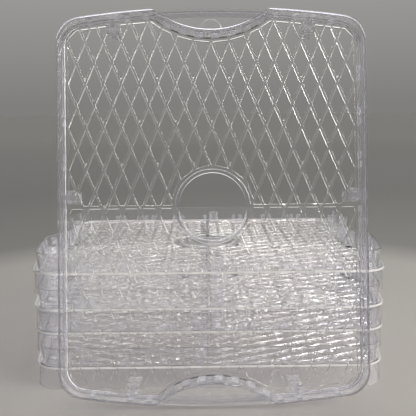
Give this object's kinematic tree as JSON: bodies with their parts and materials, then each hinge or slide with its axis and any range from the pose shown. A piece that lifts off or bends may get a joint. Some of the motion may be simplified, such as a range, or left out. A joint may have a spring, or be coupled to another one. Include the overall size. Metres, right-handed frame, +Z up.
{
  "type": "food dehydrator tray set",
  "caption": "Clear rectangular stacking trays with rhombic mesh floors and round centre holes, in a stack with one more tray leaning on end against it.",
  "frame": {"origin": "centre of the bounding box in plan, at the surface that the trays stand on", "axes": "+Z up, X along the stack's long side, -Y towards the leaning tray"},
  "size_m": [0.326, 0.3076, 0.3243],
  "materials": {
    "frame_plastic": "clear, moulded, faint lavender in its thick edges",
    "floor_plastic": "clear, moulded",
    "ring_plastic": "clear, moulded",
    "post_plastic": "clear, moulded"
  },
  "bodies": {
    "tray_1": {"tray_1_frame": "frame_plastic", "tray_1_mesh_floor": "floor_plastic", "tray_1_centre_ring": "ring_plastic", "tray_1_end_a_left_post": "post_plastic", "tray_1_end_b_left_post": "post_plastic", "tray_1_middle_left_post": "post_plastic", "tray_1_end_a_right_post": "post_plastic", "tray_1_end_b_right_post": "post_plastic", "tray_1_middle_right_post": "post_plastic"},
    "tray_2": {"tray_2_frame": "frame_plastic", "tray_2_mesh_floor": "floor_plastic", "tray_2_centre_ring": "ring_plastic", "tray_2_end_a_left_post": "post_plastic", "tray_2_end_b_left_post": "post_plastic", "tray_2_middle_left_post": "post_plastic", "tray_2_end_a_right_post": "post_plastic", "tray_2_end_b_right_post": "post_plastic", "tray_2_middle_right_post": "post_plastic"},
    "tray_3": {"tray_3_frame": "frame_plastic", "tray_3_mesh_floor": "floor_plastic", "tray_3_centre_ring": "ring_plastic", "tray_3_end_a_left_post": "post_plastic", "tray_3_end_b_left_post": "post_plastic", "tray_3_middle_left_post": "post_plastic", "tray_3_end_a_right_post": "post_plastic", "tray_3_end_b_right_post": "post_plastic", "tray_3_middle_right_post": "post_plastic"},
    "tray_4": {"tray_4_frame": "frame_plastic", "tray_4_mesh_floor": "floor_plastic", "tray_4_centre_ring": "ring_plastic", "tray_4_end_a_left_post": "post_plastic", "tray_4_end_b_left_post": "post_plastic", "tray_4_middle_left_post": "post_plastic", "tray_4_end_a_right_post": "post_plastic", "tray_4_end_b_right_post": "post_plastic", "tray_4_middle_right_post": "post_plastic"},
    "leaning_tray": {"leaning_tray_frame": "frame_plastic", "leaning_tray_mesh_floor": "floor_plastic", "leaning_tray_centre_ring": "ring_plastic", "leaning_tray_end_a_left_post": "post_plastic", "leaning_tray_end_b_left_post": "post_plastic", "leaning_tray_middle_left_post": "post_plastic", "leaning_tray_end_a_right_post": "post_plastic", "leaning_tray_end_b_right_post": "post_plastic", "leaning_tray_middle_right_post": "post_plastic"}
  },
  "joints": [
    {"name": "tray_2_lift", "type": "slide", "parent": "tray_1", "child": "tray_2", "axis": [0, 0, 1], "range_m": [0, 0.06]},
    {"name": "tray_3_lift", "type": "slide", "parent": "tray_2", "child": "tray_3", "axis": [0, 0, 1], "range_m": [0, 0.06]},
    {"name": "tray_4_lift", "type": "slide", "parent": "tray_3", "child": "tray_4", "axis": [0, 0, 1], "range_m": [0, 0.06]},
    {"name": "leaning_tray_tilt", "type": "hinge", "parent": "tray_4", "child": "leaning_tray", "pos_m": [0, -0.11887, 0], "axis": [1, 0, 0], "range_deg": [0, 8.4]}
  ]
}
